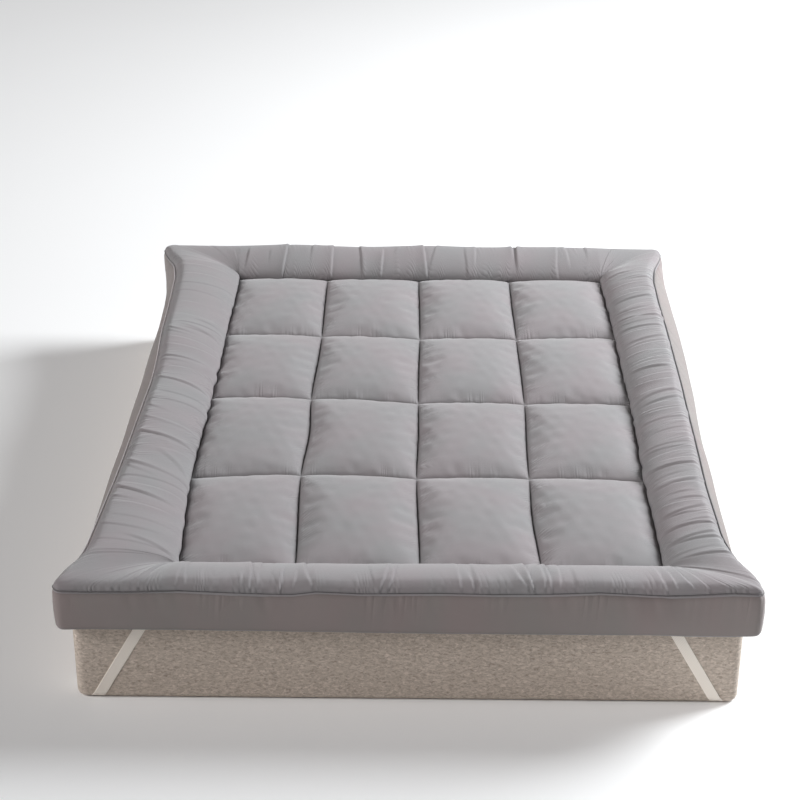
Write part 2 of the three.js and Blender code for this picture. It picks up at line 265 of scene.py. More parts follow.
def finer(points, axis, creaseEach=0, closed=False):
    # puts a point between each two along one way of the grid: (-1, 9, 9, -1)/16 of its four neighbours, and where a
    # neighbour would lie beyond a crease, the curve is carried on straight from this side of it
    p = np.moveaxis(points, axis, 0)
    count = len(p)
    i = np.arange(count if closed else count - 1)
    b, c = p[i], p[(i + 1) % count]
    if closed:
        a, d = p[i - 1], p[(i + 2) % count]
    else:
        a, d = p[np.maximum(i - 1, 0)], p[np.minimum(i + 2, count - 1)]
        step = creaseEach or count - 1
        shape = (-1,) + (1,) * (p.ndim - 1)
        atStart, atEnd = (i % step == 0).reshape(shape), ((i + 1) % step == 0).reshape(shape)
        a, d = np.where(atStart, 3 * b - 3 * c + d, a), np.where(atEnd, 3 * c - 3 * b + a, d)
    between = (9 * (b + c) - a - d) / 16
    out = np.empty((2 * count - (0 if closed else 1),) + p.shape[1:])
    out[0::2], out[1::2] = p, between
    return np.moveaxis(out, 0, axis)


# Helpers for finishes

def scaled(tone, *factors):
    # a tone times one factor, or times one for each channel
    return tuple(c * k for c, k in zip(tone, factors * 3))


class Wire:
    # a socket that takes part in sums; each operator adds its Math node
    def __init__(self, finish, socket):
        self.finish = finish
        self.socket = socket

    def __add__(self, other):
        return self.finish.math("ADD", self, other)

    def __mul__(self, other):
        return self.finish.math("MULTIPLY", self, other)

    __rmul__ = __mul__


class Finish:
    # a material under construction
    def __init__(self, name, plain):
        self.material = bpy.data.materials.new(name)
        self.material.use_nodes = True
        self.tree = self.material.node_tree
        self.shader = self.tree.nodes["Principled BSDF"]
        for socket, value in plain.items():
            self.shader.inputs[socket].default_value = value

    def node(self, kind, settings, inputs, output=0):
        # any node: its settings first, then the values or links of its sockets
        made = self.tree.nodes.new(kind)
        for name, value in settings.items():
            setattr(made, name, value)
        for name, value in inputs.items():
            if isinstance(value, Wire):
                self.tree.links.new(value.socket, made.inputs[name])
            else:
                made.inputs[name].default_value = value
        return Wire(self, made.outputs[output])

    def math(self, operation, *values):
        return self.node("ShaderNodeMath", {"operation": operation}, dict(enumerate(values)))

    def place(self, scale=(1, 1, 1), uv=False):
        # Object coordinates or the cloth's own flat ones, scaled
        coordinates = self.node("ShaderNodeTexCoord", {}, {}, "UV" if uv else "Object")
        return self.node("ShaderNodeMapping", {}, {"Vector": coordinates, "Scale": scale})

    def noise(self, vector, scale, detail=2.0, roughness=0.5, distortion=0.0):
        return self.node("ShaderNodeTexNoise", {}, {"Vector": vector, "Scale": scale, "Detail": detail,
                                                    "Roughness": roughness, "Distortion": distortion})

    def stripes(self, vector, direction, scale, distortion, detail=2.0):
        return self.node("ShaderNodeTexWave", {"wave_type": "BANDS", "bands_direction": direction},
                         {"Vector": vector, "Scale": scale, "Distortion": distortion, "Detail": detail})

    def ramp(self, factor, stops):
        # tones, or plain numbers, at places from 0 to 1
        made = self.node("ShaderNodeValToRGB", {}, {"Fac": factor})
        elements = made.socket.node.color_ramp.elements
        while len(elements) < len(stops):
            elements.new(0.5)
        for element, (place, tone) in zip(elements, stops):
            element.position = place
            element.color = (*tone, 1) if isinstance(tone, tuple) else (tone, tone, tone, 1)
        return made

    def blend(self, factor, first, second):
        # from the first tone to the second, which may be a plain one
        if isinstance(second, tuple):
            second = (*second, 1)
        return self.node("ShaderNodeMix", {"data_type": "RGBA"}, {0: factor, 6: first, 7: second}, output=2)

    def attribute(self, name):
        return self.node("ShaderNodeAttribute", {"attribute_name": name}, {}, "Fac")

    def arch(self, phase):
        # rounded cushions between sharp valleys: the sine's size, one to each turn of the phase
        return self.math("ABSOLUTE", self.math("SINE", phase * math.pi))

    def bump(self, height, strength, distance, **under):
        return self.node("ShaderNodeBump", {}, {"Height": height, "Strength": strength, "Distance": distance, **under})

    def feed(self, **sockets):
        for name, wire in sockets.items():
            self.tree.links.new(wire.socket, self.shader.inputs[name.replace("BaseColor", "Base Color")])


# Camera at the photograph's viewing angle, and a plain studio

view = {
    "place": (0.0057, -4.5013, 2.5468),
    "tilt": 26.73,
    "turn": 0.40,
    "roll": 0.29,
    "lens": 85.5,
    "sensor": 36.0,
}


def makeCamera():
    # looks along +Y, tilted down, then turned about Z, then rolled about its own axis
    data = bpy.data.cameras.new("camera")
    data.lens = view["lens"]
    data.sensor_width = view["sensor"]
    data.clip_end = 60
    camera = bpy.data.objects.new("camera", data)
    bpy.context.scene.collection.objects.link(camera)
    turned = (Matrix.Rotation(math.radians(view["turn"]), 4, "Z")
              @ Matrix.Rotation(math.radians(90 - view["tilt"]), 4, "X")
              @ Matrix.Rotation(math.radians(view["roll"]), 4, "Z"))
    camera.matrix_world = Matrix.Translation(view["place"]) @ turned
    bpy.context.scene.camera = camera


studio = {
    "floorTone": (0.93, 0.93, 0.93),
    "floorReach": 40,
    "worldTone": (1.0, 0.95, 0.93),
    "worldStrength": 0.07,
    "sunFrom": (200, 35),  # its compass angle and height, in degrees
    "sun": {"energy": 2.05, "angle": math.radians(30), "color": (1.0, 0.99, 0.99)},
    "softboxFrom": (5.35, 2.0, 3.3),
    "softboxAim": (0.0, 0.0, 0.3),
    "softbox": {"shape": "DISK", "size": 3.0, "energy": 745, "color": (0.95, 0.98, 1.0)},
}


def addLight(name, kind, settings, place, back):
    # a lamp at a place, with the vector that points back from where it shines
    data = bpy.data.lights.new(name, kind)
    for key, value in settings.items():
        setattr(data, key, value)
    light = bpy.data.objects.new(name, data)
    bpy.context.scene.collection.objects.link(light)
    light.matrix_world = Matrix.Translation(place) @ back.to_track_quat("Z", "Y").to_matrix().to_4x4()


def makeStudio():
    scene = bpy.context.scene
    scene.view_settings.view_transform = "Standard"
    world = bpy.data.worlds.new("studio")
    world.use_nodes = True
    background = world.node_tree.nodes["Background"]
    background.inputs["Color"].default_value = (*studio["worldTone"], 1)
    background.inputs["Strength"].default_value = studio["worldStrength"]
    scene.world = world
    turn, height = (math.radians(angle) for angle in studio["sunFrom"])
    back = Vector((math.cos(turn) * math.cos(height), math.sin(turn) * math.cos(height), math.sin(height)))
    addLight("sun", "SUN", studio["sun"], Vector(), back)
    place = Vector(studio["softboxFrom"])
    addLight("softbox", "AREA", studio["softbox"], place, place - Vector(studio["softboxAim"]))
    corners = studio["floorReach"] * np.array([(-1, -1, 0), (1, -1, 0), (1, 1, 0), (-1, 1, 0)], float)
    floor = makePiece("floor", corners, [(0, 1, 2, 3)], closed=False)
    finish = Finish("floorPaint", {"Roughness": 0.9, "Specular IOR Level": 0.2})
    tone = studio["floorTone"]
    finish.feed(BaseColor=finish.ramp(finish.noise(finish.place(), 1.5), [(0.0, tone), (1.0, scaled(tone, 1.02))]))
    floor.data.materials.append(finish.material)


makeCamera()
makeStudio()
print("camera and studio made")


# Where things are, from the frame

mattressLow, mattressHigh = (np.array(v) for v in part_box("mattress"))
fieldLow = np.array(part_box("quilt_field")[0])
bandLow, bandHigh = (np.array(v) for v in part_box("side_band"))
topperBase = fieldLow[2]

quilt = {
    "columns": fieldLow[0] + np.array([0.0, 0.269, 0.552, 0.830, 1.111]),
    "rows": fieldLow[1] + np.array([0.0, 0.435, 0.852, 1.260, 1.673]),
    "seamHeight": topperBase + 0.0617,
    "crown": 0.030,
    "power": (2.3, 2.6),  # how flat a cell's top is, across and along
    "steep": (2.3, 2.2),  # how steeply it rises from its seams
    "cellSteps": (32, 46),
    "crowding": 0.45,
    # how far the sewn lines' crossings stray from even columns and rows, in millimetres, from the foot to the head
    "strayX": [(4, 3, 3, 1, -1), (-10, -8, -5, -5, -3), (-2, -4, -1, 3, 4), (0, 6, 3, 0, 2), (4, 5, 0, -3, -5)],
    "strayY": [(0, 0, 0, 0, 0), (-7, 13, 0, 4, -6), (15, 15, -6, -6, -8), (9, 4, -9, -6, 3), (0, 0, 0, 0, 0)],
    # how far each long line bows sideways between two crossings
    "bow": [(0, 0, 0, -5, 1), (0, 7, 2, -1, 1), (2, 1, -1, 1, -1), (1, 0, 1, -1, 0)],
    "rimWander": 0.0020,  # how far the two outermost lines wander
    "uneven": 0.0010,
    "cellSpread": 0.06,
    "groove": (0.0035, 0.003),  # depth and reach of the painted shade beside a sewn line
    "cloth": {"frames": 24, "bend": 8, "pressure": 3.0, "spare": 0.004, "cap": 0.032, "calm": 1},
    # side of a sewn line: the short folds' pitch, slant and reach, the size of their groups, the level of the groups'
    # wave at which they start, and their depth
    "puckers": {
        "beyond": (0.014, 0.05, 0.022, 0.13, -0.4, 0.0014),
        "before": (0.016, 0.05, 0.010, 0.16, 0.1, 0.0006),
        "right": (0.013, -0.8, 0.026, 0.14, -0.6, 0.0018),
        "left": (0.011, 0.9, 0.022, 0.16, -0.2, 0.0011),
    },
}

sides = ("foot", "right", "head", "left", "corner")  # the order of every row of numbers for the sides
roll = {
    "outerHeight": topperBase + 0.0992,
    "innerHeight": topperBase + 0.0617,
    "crest": (0.034, 0.033, 0.036, 0.038),
    "crestDrift": (0.05, 0.45),  # how much the crest's height wanders, and over what length
    "crestPower": 0.85,  # under 1 the section is fuller than a sine
    "linePower": 1.3,
    "cornerDrop": 0.14,
    "overhang": 0.10,
    # how far the outer face may hang over the seam, how fast that falls back with the square of its height, and how
    # dark the painted shade in the groove beside the seam is
    "overSeam": (0.004, 0.001, 0.004, 0.001, 0.003),
    "fallBack": (44, 40, 36, 36, 44),
    "softCorner": 0.004,
    "seamShade": (1.0, 1.6, 0.6, 0.0, 0.8),
    # painted shade beside the outer and inner seams: its depth and reach
    "groove": {"outer": (0.005, 0.0035), "inner": (0.003, 0.003)},
    "steps": 20,
    "spacing": 0.0063,
    "cornerSteps": 46,
    "cloth": {"frames": 24, "bend": 4, "pressure": 2.5, "spare": 0.045, "cap": 0.030, "calm": 1},
    "spare": (0.6, 1.0, 0.6, 0.55, 0.35),  # the share of the spare length that each side has
    "foldWidth": 0.0029,
    "broadFolds": (2.2, 0.5),  # under each fold is a broader one: how much broader, and how deep against it
    "puckers": {"outer": (0.017, 0.3, 0.040, 0.16, -0.9, 0.0020), "inner": (0.014, -0.7, 0.034, 0.15, -0.7, 0.0020)},
    "puckerShare": (0.75, 1.2, 0.9, 0.6, 0.8),
    "closeLeft": (-0.38, 0.10, 1.2),  # the stretch of the left side that is gathered most, and how much more
}

outline = {
    "end": {"seam": 0.988, "base": 0.9935},
    # half sizes at places along each side, from the foot to the head, as measured in the photograph
    "places": (-0.99, -0.96, -0.90, -0.86, -0.80, -0.74, -0.65, -0.50, -0.30, -0.12, 0.04, 0.20, 0.40, 0.60, 0.75,
               0.85, 0.92, 0.99),
    "seamLeft": (782, 779, 761, 740, 727, 723, 716, 708, 700, 692, 688, 690, 698, 701, 704, 720, 752, 772),
    "seamRight": (781, 780, 769, 747, 729, 719, 718, 716, 718, 722, 724, 724, 726, 724, 726, 740, 764, 776),
    "baseLeft": (777, 776, 770, 764, 759, 757, 757, 759, 756, 751, 750, 748, 746, 743, 744, 750, 758, 764),
    "baseRight": (780, 779, 774, 770, 766, 764, 763, 765, 768, 767, 773, 782, 788, 790, 790, 790, 788, 784),
    "cornerRadius": 0.020,
    "bulge": (0.005, 0.004, 0.005, 0.004, 0.003),
    # how much higher than straight the outer seam and the base run at places along the foot, in millimetres
    "liftPlaces": (-0.76, -0.70, -0.61, -0.50, -0.40, -0.30, -0.25, -0.20, -0.10, 0.07, 0.19, 0.31, 0.42, 0.52, 0.57,
                   0.62, 0.71, 0.76),
    "seamLift": (2, 1, 2, 6, 2, -1, -1, 6, 2, 5, 3, 5, 10, 5, 3, 5, 11, 9),
    "baseLift": (6, 8, 8, 8, 7, 7, 6, 6, 5, 4, 4, 4, 4, 5, 4, 2, 2, 4),
}
centreX = (mattressLow[0] + mattressHigh[0]) / 2
centreY = (bandLow[1] + bandHigh[1]) / 2


def halfWidth(level, side, y):
    # half size of a side: the measured places joined by straight lines, then rounded by a running mean
    grid = np.linspace(-1, 1, 401)
    half = np.interp(grid, outline["places"], outline[level + ("Left" if side < 0 else "Right")]) / 1000
    weights = np.hanning(21)
    return np.interp(y, grid, np.convolve(np.pad(half, 10, mode="edge"), weights / weights.sum(), mode="valid"))


def sewnPlan(u, v):
    # plan of the quilting at a column u and a row v, which may be fractions: even places, the crossings' strays eased
    # between them, and the long lines' bows, which are squared sines between two crossings
    columns, rows = quilt["columns"], quilt["rows"]
    x = np.interp(u, np.arange(len(columns)), columns) + eased(quilt["strayX"], u, v) / 1000
    y = np.interp(v, np.arange(len(rows)), rows) + eased(quilt["strayY"], u, v) / 1000
    span, line = np.clip(v.astype(int), 0, len(rows) - 2), np.clip(u.astype(int), 0, len(columns) - 2)
    share = smoothStep(u - line, 0, 1)
    bow = np.asarray(quilt["bow"], float) / 1000
    bowed = bow[span, line] * (1 - share) + bow[span, line + 1] * share
    rim = np.exp(-(np.minimum(u, len(columns) - 1 - u) / 0.15) ** 2)
    wander = quilt["rimWander"] * (wavy(y, 0.085, 71) + (wavy(y, 0.07, 72) - wavy(y, 0.085, 71)) * (u > 1))
    return x + bowed * np.sin(math.pi * (v - span)) ** 2 + rim * wander, y


def sewnEdge(column, place):
    # x of a long sewn line at places along it, both from the part's middle
    v = np.linspace(0, len(quilt["rows"]) - 1, 600)
    x, y = sewnPlan(np.full_like(v, column), v)
    return np.interp(place, y - centreY, x - centreX)


def resample(line, count):
    # evenly spaced points along a line of points
    step = np.linalg.norm(np.diff(line, axis=0), axis=1)
    along = np.concatenate([[0], np.cumsum(step)])
    places = np.linspace(0, along[-1], count)
    return stacked(*(np.interp(places, along, line[:, k]) for k in range(2)))


def cornerEdge(level, side, end, inner, count):
    # from the long side, round the rounded corner, to the end
    reach, radius = outline["end"][level], outline["cornerRadius"]
    wide = halfWidth(level, side, end * (reach - radius))
    y = np.linspace(abs(inner[1]), reach - radius, 60)
    along = stacked(side * halfWidth(level, side, end * y), end * y)
    angle = np.linspace(0, math.pi / 2, 24)
    turned = stacked(side * (wide - radius * (1 - np.cos(angle))), end * (reach - radius * (1 - np.sin(angle))))
    last = np.array([[inner[0], end * reach]])
    return resample(np.concatenate([along, turned, last]), count)


def lengthRound(line):
    # the length along a closed line up to each point, and the whole
    step = np.linalg.norm(np.roll(line, -1, 0) - line, axis=1)
    return np.cumsum(step) - step, float(step.sum())


def rollStations():
    # places round the roll, anticlockwise from the foot's left corner, as arrays: on the centre's edge, the outer seam
    # and the base, with the side's name, how far into a corner it is and the crest's height
    last = len(quilt["columns"]) - 1
    foot, head = quilt["rows"][0] - centreY, quilt["rows"][-1] - centreY
    crest = dict(zip(sides, roll["crest"]))
    parts = []

    def straight(name, way, start, stop):
        place = np.linspace(start, stop, int(round(abs(stop - start) / roll["spacing"])) + 1)
        if name in ("foot", "head"):
            reach = {"inner": foot if way < 0 else head, **{k: way * v for k, v in outline["end"].items()}}
            lines = {key: stacked(place, y) for key, y in reach.items()}
        else:
            reach = {key: way * halfWidth(key, way, place) for key in ("seam", "base")}
            reach["inner"] = sewnEdge(0 if way < 0 else last, place)
            lines = {key: stacked(x, place) for key, x in reach.items()}
        parts.append({**lines, "side": np.full(len(place), name, "<U6"), "corner": np.zeros(len(place)),
                      "crest": np.full(len(place), crest[name])})

    def corner(side, end, first, second):
        y = foot if end < 0 else head
        inner = np.array([sewnEdge(0 if side < 0 else last, y), y])
        share = np.linspace(0, 1, roll["cornerSteps"] + 1)[1:-1]
        fall = crest[second] - crest[first]
        lines = {key: cornerEdge(key, side, end, inner, roll["cornerSteps"] + 1)[::side * end][1:-1]
                 for key in ("seam", "base")}
        parts.append({**lines, "inner": np.tile(inner, (len(share), 1)), "side": np.full(len(share), "corner"),
                      "corner": np.sin(math.pi * share), "crest": crest[first] + fall * share})

    straight("foot", -1, sewnEdge(0, foot), sewnEdge(last, foot))
    corner(1, -1, "foot", "right")
    straight("right", 1, foot, head)
    corner(1, 1, "right", "head")
    straight("head", 1, sewnEdge(last, head), sewnEdge(0, head))
    corner(-1, 1, "head", "left")
    straight("left", -1, head, foot)
    corner(-1, -1, "left", "foot")
    joined = {key: np.concatenate([part[key] for part in parts]) for key in parts[0]}
    for key in ("inner", "seam", "base"):
        joined[key] = joined[key] + np.array([centreX, centreY])
    joined["out"] = outwards(joined["seam"])
    length, around = joined["length"], joined["around"] = lengthRound(joined["seam"])
    atFoot = smoothStep(-joined["out"][:, 1], 0.5, 0.95)
    for key, plain in (("seamLift", 0.002 + 0.003 * wavy(length, 0.32, 61, around=around)),
                       ("baseLift", 0.004 + 0.002 * wavy(length, 0.5, 62, around=around))):
        seen = np.interp(joined["seam"][:, 0] - centreX, outline["liftPlaces"], outline[key]) / 1000
        joined[key] = plain + (seen - plain) * atFoot
    return joined


stations = rollStations()
edges = {key: finer(stations[key], 0, closed=True) for key in ("inner", "seam", "base", "seamLift", "baseLift")}
edges["out"] = outwards(edges["seam"])
edges["length"], edges["around"] = lengthRound(edges["seam"])
edges["side"] = np.repeat(stations["side"], 2)
print("stations round the roll:", len(edges["side"]))


def perSide(places, values):
    # the number for the side that each place round the roll is on
    return np.select([places["side"] == side for side in sides], list(values)).astype(float)


def bySide(places, values):
    # the same, eased from side to side, as a column
    return smoothRound(perSide(places, values), 12)[:, None]


def sidePoints(share, away):
    # the topper's upright side: base to outer seam at a share of the height, bulging in the middle, moved outwards
    push = away + bySide(edges, outline["bulge"]) * 4 * share * (1 - share)
    base, seam, out = (edges[k][:, None, :] for k in ("base", "seam", "out"))
    plan = base + (seam - base) * share[..., None] + out * push[..., None]
    top, low = roll["outerHeight"] + edges["seamLift"][:, None], topperBase + edges["baseLift"][:, None]
    return withHeight(plan, low + (top - low) * share)


# The padded roll round the centre

folds = {
    # the larger folds seen in the photograph: the place along the side at the outer seam, how far the fold shifts by
    # the inner seam, the shares of the way across where it starts and ends, and its depth in millimetres
    "left": [(0.371, -0.11, 0, 0.62, 3.5), (0.348, -0.10, 0.1, 0.6, 2), (0.402, -0.045, 0.35, 0.95, 2.5),
             (0.423, -0.137, 0.4, 0.95, 2.5), (0.461, -0.09, 0.5, 0.9, 2.5), (0.181, -0.045, 0, 0.78, 4),
             (0.159, -0.043, 0.1, 0.6, 2), (0.060, -0.085, 0, 0.92, 4.5), (-0.096, 0, 0.1, 0.6, 2),
             (-0.115, -0.107, 0, 0.6, 2.5), (-0.150, -0.09, 0, 0.4, 2.5), (-0.184, -0.083, 0, 0.6, 3),
             (-0.258, -0.074, 0, 0.88, 5), (-0.342, -0.05, 0, 0.38, 4), (-0.094, -0.43, 0.45, 0.72, 2),
             (-0.216, -0.29, 0.5, 0.97, 4.5), (-0.403, -0.11, 0, 0.66, 4), (-0.412, -0.155, 0.1, 0.65, 2),
             (-0.543, -0.09, 0, 0.8, 5), (-0.583, -0.09, 0, 0.5, 4), (-0.66, -0.05, 0, 0.3, 2.5),
             (-0.69, -0.05, 0, 0.25, 2.5), (-0.717, -0.138, 0.45, 0.97, 3.5), (-0.850, -0.02, 0.2, 0.9, 1.8),
             (-0.875, 0, 0.2, 0.8, 1.5)],
    "foot": [(-0.720, 0, 0, 0.3, 2.5), (-0.604, 0, 0.05, 0.95, 3.5), (-0.588, -0.004, 0, 0.95, 4),
             (-0.572, 0.015, 0, 0.6, 2.5), (-0.504, 0, 0, 0.9, 2), (-0.488, 0, 0.1, 0.9, 3), (-0.364, 0, 0, 0.6, 3),
             (-0.340, -0.018, 0, 0.95, 4), (-0.328, 0, 0, 0.95, 2.5), (-0.284, 0.025, 0, 0.7, 4.5),
             (-0.248, 0, 0.05, 0.6, 3), (-0.212, -0.02, 0, 0.98, 3.5), (-0.062, 0.036, 0, 0.8, 4.5),
             (-0.044, 0.03, 0, 0.8, 4.5), (0.121, -0.022, 0, 0.9, 2.5), (0.150, -0.05, 0, 0.6, 3),
             (0.270, -0.07, 0, 0.8, 4), (0.278, -0.03, 0, 0.98, 5.5), (0.303, -0.02, 0, 0.98, 3.5),
             (0.318, -0.02, 0, 0.95, 5), (0.333, 0, 0.1, 0.9, 3), (0.574, -0.05, 0, 0.7, 3),
             (0.600, -0.06, 0.1, 0.8, 4.5), (0.632, -0.04, 0.1, 0.9, 4)],
}
smallFolds = {
    # side: how many to a metre, the ranges of their depth in millimetres and of their shift, and a seed
    "left": (16, (0.5, 1.4), (-0.07, -0.01), 11),
    "right": (36, (0.8, 3.4), (-0.05, 0.02), 23),
    "foot": (9, (0.5, 1.5), (-0.03, 0.03), 37),
    "head": (16, (1.0, 4.0), (-0.03, 0.03), 41),
    "corner": (14, (0.5, 1.5), (-0.02, 0.02), 53),
}
foldShape = {
    "listed": 0.68,  # how much of a listed fold's depth is raised
    "sway": 0.003,
    "lip": 0.3,  # how many widths the step takes
    "tail": 4.5,  # how many widths the cloth takes to sink back
    "valley": 0.5,
    "valleyPlace": 0.7,
    "valleyWidth": 0.9,
}


def lengthAt(side, place):
    # how far round the outer seam a place along one side is
    way, sign = {"foot": (1, -1), "right": (0, 1), "head": (1, 1), "left": (0, -1)}[side]
    facing = stations["out"][:, way] * sign > 0.75
    along = stations["seam"][facing, 1 - way] - (centreY if way == 0 else centreX)
    order = np.argsort(along)
    return np.interp(place, along[order], stations["length"][facing][order])


def foldList():
    # every fold as its middle, shift, start, end, depth and the way that its proud side faces, all along the seam
    listed, sign = [], dict(zip(sides, (1, 1, -1, -1, 1)))
    for side, seen in folds.items():
        for place, shift, begin, finish, depth in seen:
            listed.append((lengthAt(side, place), sign[side] * shift, begin, finish, foldShape["listed"] * depth / 1000,
                           -1))
    for side, (each, depths, shifts, seed) in smallFolds.items():
        draw = np.random.default_rng(seed)
        inside = np.concatenate([[0], (stations["side"] == side).astype(int), [0]])
        ends = np.flatnonzero(np.diff(inside))
        for start, stop in zip(ends[::2], ends[1::2]):
            low, high = stations["length"][start], stations["length"][stop - 1]
            count = int(each * (high - low))
            for k in range(count):
                begin, finish = draw.uniform(-0.2, 0.4), draw.uniform(0.5, 1.3)
                if draw.random() < 0.4:
                    begin, finish = 1 - finish, 1 - begin
                listed.append((low + (high - low) * (k + draw.uniform(0.1, 0.9)) / count,
                               sign[side] * draw.uniform(*shifts), begin, finish, draw.uniform(*depths) / 1000,
                               1 if draw.random() < 0.5 else -1))
    return listed


def foldDepth(length, across, width):
    # how far the cloth is drawn in: at each fold it steps up within a width, stands proud beside it and sinks back as
    # e^(-distance), with a narrow bell-shaped valley at the step's foot
    shape, total = foldShape, np.zeros((len(length), len(across)))
    draw = np.random.default_rng(7)
    for middle, shift, begin, finish, depth, way in foldList():
        beyond = length - middle
        beyond = beyond - stations["around"] * np.round(beyond / stations["around"])
        near = np.abs(beyond - shift / 2) < abs(shift) / 2 + 0.08
        bend = draw.normal(0, shape["sway"]) * np.sin(2 * math.pi * across + draw.uniform(0, 6.283))
        x = way * (beyond[near, None] - (shift * across + bend)) / width
        lip = np.exp(-np.maximum(x, 0) / shape["tail"]) / (1 + np.exp(-np.clip(x, -15, 15) / shape["lip"]))
        valley = shape["valley"] * np.exp(-((x + shape["valleyPlace"]) / shape["valleyWidth"]) ** 2)
        window = smoothStep(across, begin - 0.05, begin + 0.12) * (1 - smoothStep(across, finish - 0.35, finish))
        total[near] += depth * (valley - lip) * window
    return total


def ringPiece(name, section, across):
    # a closed section carried round the roll, laid flat as the length round the seam and a measure across
    flat = stacked(edges["length"][:, None], across)
    return makePiece(name, section, gridFaces(*section.shape[:2], True, True), flat, edges["around"])


def leaned(shell):
    # keeps the outer face from hanging over its seam: how far a point stands out beyond a limit that falls back with
    # its height is taken off it, with a soft corner
    away = ((shell[..., :2] - stations["seam"][:, None]) * stations["out"][:, None]).sum(-1)
    rise = np.maximum(shell[..., 2] - roll["outerHeight"] - stations["seamLift"][:, None], 0)
    over, back = (bySide(stations, roll[key]) for key in ("overSeam", "fallBack"))
    limit = over - back * rise ** 2
    soft = roll["softCorner"]
    over = soft * np.log1p(np.exp(np.clip((away - limit) / soft, -30, 30))) * smoothStep(rise, 0, 0.006)
    leant = shell.copy()
    leant[..., :2] -= stations["out"][:, None] * over[..., None]
    return leant


def makeRoll():
    # section from the outer seam over the crest to the inner seam: an angle from 0 to pi, with the plan at
    # (1 - cos)/2 less an overhang, and the height at its sine; then down the inner wall, under, and up the outer wall
    angle = np.linspace(0, math.pi, roll["steps"])
    lean = (1 - np.cos(angle)) / 2 - roll["overhang"] * np.sin(2 * angle) / 2
    seam, inner = stations["seam"][:, None, :], stations["inner"][:, None, :]
    plan = seam + (inner - seam) * lean[:, None]
    crest = stations["crest"] * (1 - roll["cornerDrop"] * stations["corner"])
    drift, over = roll["crestDrift"]
    crest = crest * (1 + drift * wavy(stations["length"], over, 5, around=stations["around"]))
    rise = crest[:, None] * np.sin(angle) ** roll["crestPower"]
    outer = roll["outerHeight"] + stations["seamLift"][:, None]
    line = outer + (roll["innerHeight"] - outer) * ((1 - np.cos(angle)) / 2) ** roll["linePower"]
    shell = withHeight(plan, line + rise)
    broader, fainter = roll["broadFolds"]
    broad = foldDepth(stations["length"], angle / math.pi, broader * roll["foldWidth"])
    shell = pushed(shell, fainter * broad * np.sin(angle) ** 0.5, closed=True)
    rows, cols = shell.shape[:2]
    sewn = np.zeros((rows, cols), bool)
    sewn[:, [0, -1]] = True
    spare = np.repeat(perSide(stations, roll["spare"]), cols)
    faces = gridFaces(rows, cols, closedRows=True)[:, ::-1]
    shell = settle("rollCloth", shell, faces, sewn.ravel(), roll["cloth"], spare)
    shell = calmed(shell, sewn, roll["cloth"]["calm"], closed=True)
    shell = finer(finer(leaned(shell), 0, closed=True), 1)
    fromOuter = np.cumsum(np.linalg.norm(np.diff(shell, axis=1, prepend=shell[:, :1]), axis=2), 1)
    fromInner = fromOuter[:, -1:] - fromOuter
    crease = foldDepth(edges["length"], np.linspace(0, 1, shell.shape[1]), roll["foldWidth"])
    crease *= besideSeam(fromOuter) * besideSeam(fromInner)
    shell = pushed(shell, crease, closed=True)
    wall = sidePoints(np.linspace(0, 0.999, 4), 0.0)
    section = np.concatenate([shell, withHeight(edges["inner"], topperBase)[:, None, :], wall], 1)
    below = ((0, 0), (0, section.shape[1] - crease.shape[1]))
    piece = ringPiece("borderRoll", section, np.pad(fromOuter, below))
    # painted shade: darker in the folds' hollows and beside both seams, most on the right and none on the left
    paintedShade = groove(fromOuter, roll["groove"]["outer"]) * bySide(edges, roll["seamShade"])
    paintedShade = paintedShade + groove(fromInner, roll["groove"]["inner"])
    keepValue(piece, "crease", np.pad(0.5 * np.maximum(crease, 0) + paintedShade, below))
    length = edges["length"][:, None] + 0 * fromOuter
    y = edges["seam"][:, 1] - centreY
    low, high, more = roll["closeLeft"]
    close = (edges["side"] == "left") * smoothStep(y, low - 0.05, low) * (1 - smoothStep(y, high, high + 0.05))
    share = smoothRound(perSide(edges, roll["puckerShare"]) + more * close, 12)[:, None]
    for letter, kind, away, seed in (("A", "outer", fromOuter, 101), ("B", "inner", fromInner, 111)):
        phase, strength = puckers(length, away, roll["puckers"][kind], seed, edges["around"])
        keepPuckers(piece, letter, np.pad(phase, below, mode="edge"), np.pad(strength * share, below))
    return piece


# The quilted centre

def cellProfile(t, way):
    # a superellipse across a cell: (1 - |2t - 1|^power)^(1/steep)
    return np.maximum(0, 1 - np.abs(2 * t - 1) ** quilt["power"][way]) ** (1 / quilt["steep"][way])


def crowded(t):
    # shares of a cell drawn towards its two seams: part of the way to (1 - cos)/2
    return t + quilt["crowding"] * ((0.5 - 0.5 * np.cos(math.pi * t)) - t)


def besideLines(grid, step, across, kinds):
    # half a cell before and beyond each sewn line that runs along a grid's rows: the puckers' phase and strength, and
    # the distance from the line
    kept, far = np.zeros((2, *grid.shape[:2])), np.ones(grid.shape[:2])
    for k in range((len(grid) - 1) // step + 1):
        line, half = step * k, step // 2
        for kind, shift, near in zip(kinds, (0, 7), (slice(line - half, line + 1), slice(line, line + half + 1))):
            if near.start >= 0 and near.stop <= len(grid):
                far[near] = np.abs(grid[near, :, across] - grid[line][None, :, across])
                seed = 1000 * across + 20 * k + shift
                kept[:, near] = puckers(grid[near, :, 1 - across], far[near], quilt["puckers"][kind], seed)
    return kept, far


